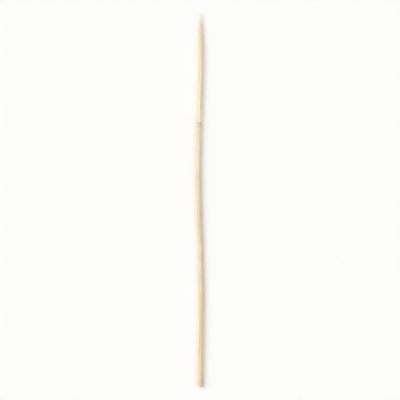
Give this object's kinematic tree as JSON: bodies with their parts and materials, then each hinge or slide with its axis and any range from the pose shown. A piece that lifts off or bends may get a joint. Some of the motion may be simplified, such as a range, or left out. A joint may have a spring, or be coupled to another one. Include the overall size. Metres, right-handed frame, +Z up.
{
  "type": "bamboo skewer",
  "caption": "Round bamboo skewer with a long ground point at one end and a square sawn butt at the other, lying flat on its slight bow.",
  "frame": {"origin": "middle of the lying skewer's box, on the table under it", "axes": "+Y from the sawn butt to the point, +Z up from the table to the skin side, +X to the right with the point away from the viewer"},
  "size_m": [0.005, 0.25, 0.003],
  "materials": {
    "bamboo": "bare bamboo, drawn round through a die and lightly polished, with fine lengthwise fibres"
  },
  "bodies": {
    "root": {"skewer": "bamboo"}
  },
  "joints": []
}
